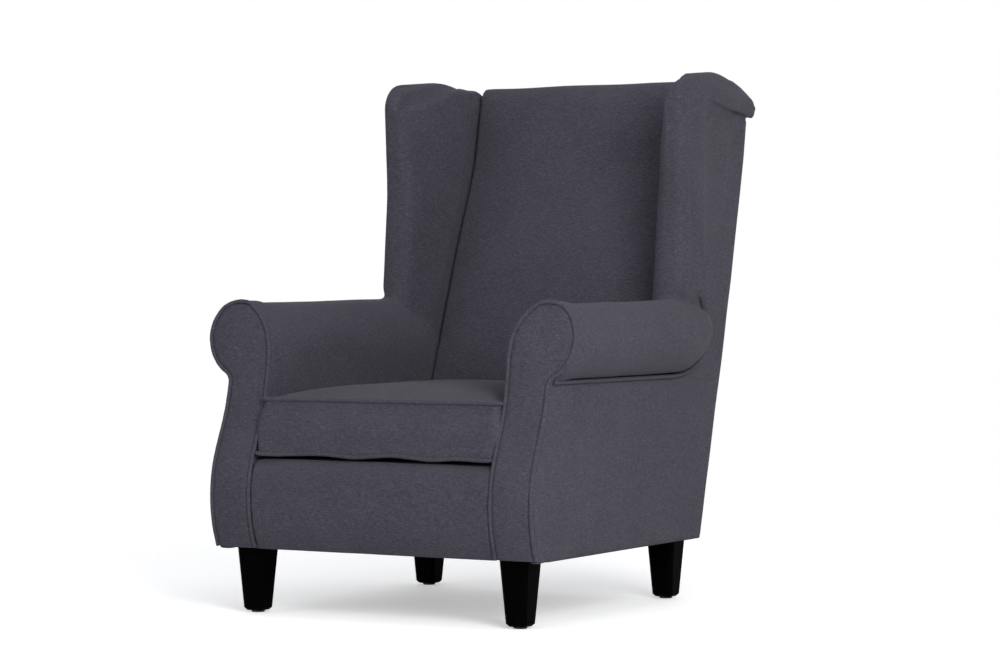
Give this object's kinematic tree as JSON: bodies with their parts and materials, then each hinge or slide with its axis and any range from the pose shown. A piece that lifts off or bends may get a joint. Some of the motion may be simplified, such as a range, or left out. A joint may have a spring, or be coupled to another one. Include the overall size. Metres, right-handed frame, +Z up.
{
  "type": "wing chair",
  "caption": "Upholstered wing chair with rolled scroll arms, piped arm fronts, a raked back between wings, a loose box seat cushion and short tapered black legs.",
  "frame": {"origin": "on the floor, under the centre of the chair's bounding box", "axes": "+Z up; +Y from the front of the seat towards the back; +X to the right of a viewer who faces the front of the chair"},
  "size_m": [0.8164, 0.9828, 1.0749],
  "materials": {
    "legs": "black satin lacquer on hardwood",
    "glides": "matte black nylon glide",
    "fasteners": "zinc-plated steel",
    "springs": "dark drawn spring wire",
    "timber": "raw sawn hardwood, hidden",
    "lining": "black non-woven dust cover",
    "webbing": "elastic webbing, hidden",
    "cover_outside": "charcoal grey woven upholstery, matte",
    "cover_inside": "charcoal grey woven upholstery over padding, matte",
    "cover_facing": "charcoal grey woven upholstery over a padded board, matte",
    "cover_cushion": "charcoal grey woven upholstery, matte",
    "piping": "charcoal grey self-covered piping, matte",
    "foam": "cushion foam, hidden by its cover",
    "zip": "black woven zip tape with coil teeth",
    "zip_slider": "black lacquered zip slider"
  },
  "bodies": {
    "chair": {"arm_facing_left": "cover_facing", "arm_facing_right": "cover_facing", "arm_facing_welt_left": "piping", "arm_facing_welt_right": "piping", "arm_front_post_left": "timber", "arm_front_post_right": "timber", "arm_pad_left": "cover_inside", "arm_pad_right": "cover_inside", "arm_tack_rail_left": "timber", "arm_tack_rail_right": "timber", "arm_top_rail_left": "timber", "arm_top_rail_right": "timber", "back_post_left": "timber", "back_post_right": "timber", "back_webbing": "webbing", "corner_blocks": "timber", "dust_cover": "lining", "front_apron": "cover_outside", "front_rail": "timber", "glide_front_left": "glides", "glide_front_right": "glides", "glide_rear_left": "glides", "glide_rear_right": "glides", "hanger_bolts": "fasteners", "inside_back": "cover_inside", "leg_front_left": "legs", "leg_front_right": "legs", "leg_rear_left": "legs", "leg_rear_right": "legs", "lower_back_rail": "timber", "outside_back": "cover_outside", "rear_rail": "timber", "seat_deck": "cover_inside", "seat_springs": "springs", "side_panel_left": "cover_outside", "side_panel_right": "cover_outside", "side_rail_left": "timber", "side_rail_right": "timber", "spring_clips": "fasteners", "tee_nuts": "fasteners", "top_back_rail": "timber", "under_roll_welt_left": "piping", "under_roll_welt_right": "piping", "wing_pad_left": "cover_inside", "wing_pad_right": "cover_inside", "wing_post_left": "timber", "wing_post_right": "timber", "wing_top_rail_left": "timber", "wing_top_rail_right": "timber"},
    "cushion": {"cushion_foam": "foam", "cushion_top_panel": "cover_cushion", "cushion_bottom_panel": "cover_cushion", "cushion_boxing": "cover_cushion", "cushion_zip": "zip", "cushion_top_welt": "piping", "cushion_bottom_welt": "piping"},
    "zip_slider": {"cushion_zip_slider": "zip_slider"}
  },
  "joints": [
    {"name": "cushion_lift", "type": "slide", "parent": "chair", "child": "cushion", "axis": [0, 0, 1], "range_m": [0, 0.8]},
    {"name": "zip_slide", "type": "slide", "parent": "cushion", "child": "zip_slider", "axis": [-1, 0, 0], "range_m": [0, 0.404]}
  ]
}
